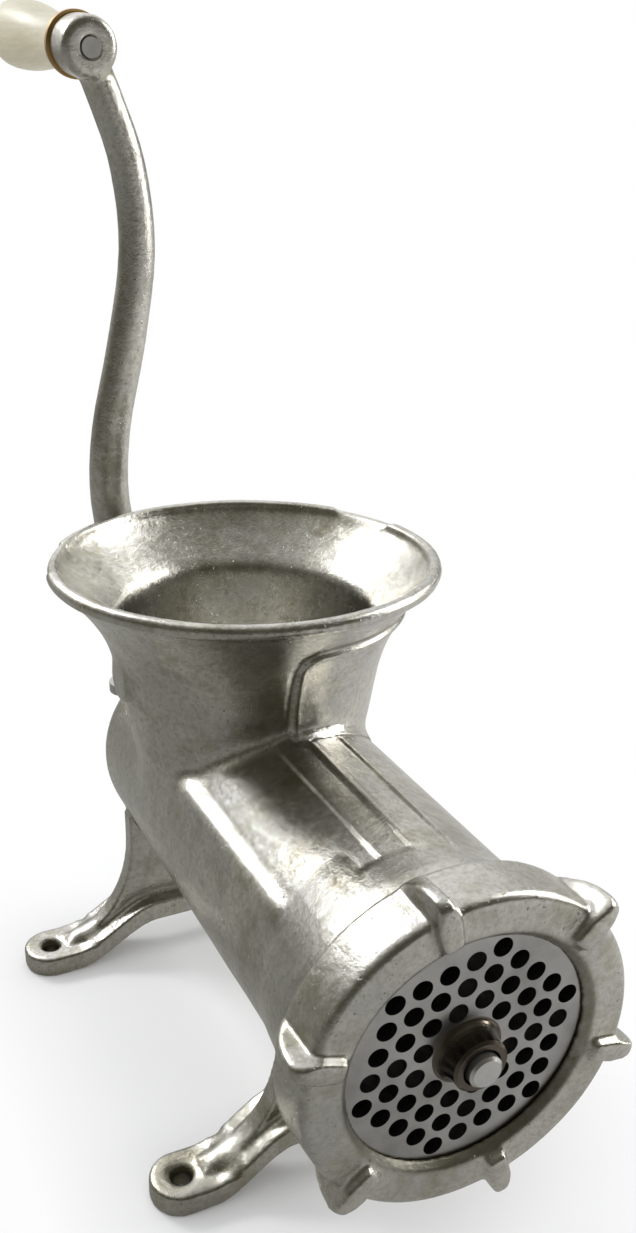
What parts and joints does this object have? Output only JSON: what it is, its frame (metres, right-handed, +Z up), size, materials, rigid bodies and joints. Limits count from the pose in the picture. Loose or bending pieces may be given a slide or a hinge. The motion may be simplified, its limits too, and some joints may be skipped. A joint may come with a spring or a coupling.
{
  "type": "meat grinder",
  "caption": "Hand-cranked bench meat grinder: a flared hopper over a barrel on bolt-down legs, with a feed screw, knife, holed plate and lugged ring.",
  "frame": {"origin": "on the bench plane, midway between the centres of the two front foot holes", "axes": "+X to the right seen from the cutting plate, +Y from the cutting plate towards the crank, +Z up"},
  "size_m": [0.196, 0.4111, 0.4083],
  "materials": {
    "tinned_iron": "hot-tinned casting, satin with a fine cast grain",
    "ground_steel": "turned and ground",
    "dark_steel": "dark polished",
    "pin_steel": "worn bright",
    "plain_steel": "plain",
    "bronze": "turned bearing bronze",
    "brown_brass": "tarnished brown",
    "grip_wood": "pale painted wood, worn"
  },
  "bodies": {
    "root": {"body_casting": "tinned_iron", "rear_bushing": "bronze", "bushing_screw": "plain_steel", "plate_key": "plain_steel", "thrust_washer": "bronze"},
    "drive": {"feed_screw": "tinned_iron", "screw_stud": "pin_steel", "knife": "ground_steel", "crank_arm": "tinned_iron", "grip_spindle": "pin_steel", "grip_collar": "brown_brass", "grip_end_washer": "plain_steel"},
    "grip": {"wooden_grip": "grip_wood"},
    "plate": {"cutting_plate": "ground_steel", "plate_hub": "dark_steel"},
    "ring": {"ring_nut": "tinned_iron"},
    "washer": {"crank_washer": "plain_steel"},
    "thumb_screw": {"crank_screw": "plain_steel"}
  },
  "joints": [
    {"name": "crank_spin", "type": "hinge", "parent": "root", "child": "drive", "pos_m": [0, 0.1, 0.095], "axis": [0, 1, 0], "continuous": true},
    {"name": "grip_spin", "type": "hinge", "parent": "drive", "child": "grip", "pos_m": [-0.028, 0.218, 0.388], "axis": [0, 0.998, 0.0628], "continuous": true},
    {"name": "plate_slide", "type": "slide", "parent": "root", "child": "plate", "axis": [0, -1, 0], "range_m": [0, 0.01802]},
    {"name": "ring_spin", "type": "hinge", "parent": "plate", "child": "ring", "pos_m": [0, -0.065, 0.095], "axis": [0, -1, 0], "range_deg": [0, 1080]},
    {"name": "washer_slide", "type": "slide", "parent": "drive", "child": "washer", "axis": [0, 1, 0], "range_m": [0, 0.01602]},
    {"name": "thumb_screw_turn", "type": "hinge", "parent": "washer", "child": "thumb_screw", "pos_m": [0, 0.24, 0.095], "axis": [0, 1, 0], "range_deg": [0, 2880]}
  ],
  "couplings": [
    {"joint": "plate_slide", "follows": "ring_spin", "m_per_rad": 0.00095493},
    {"joint": "washer_slide", "follows": "thumb_screw_turn", "m_per_rad": 0.00031831}
  ]
}
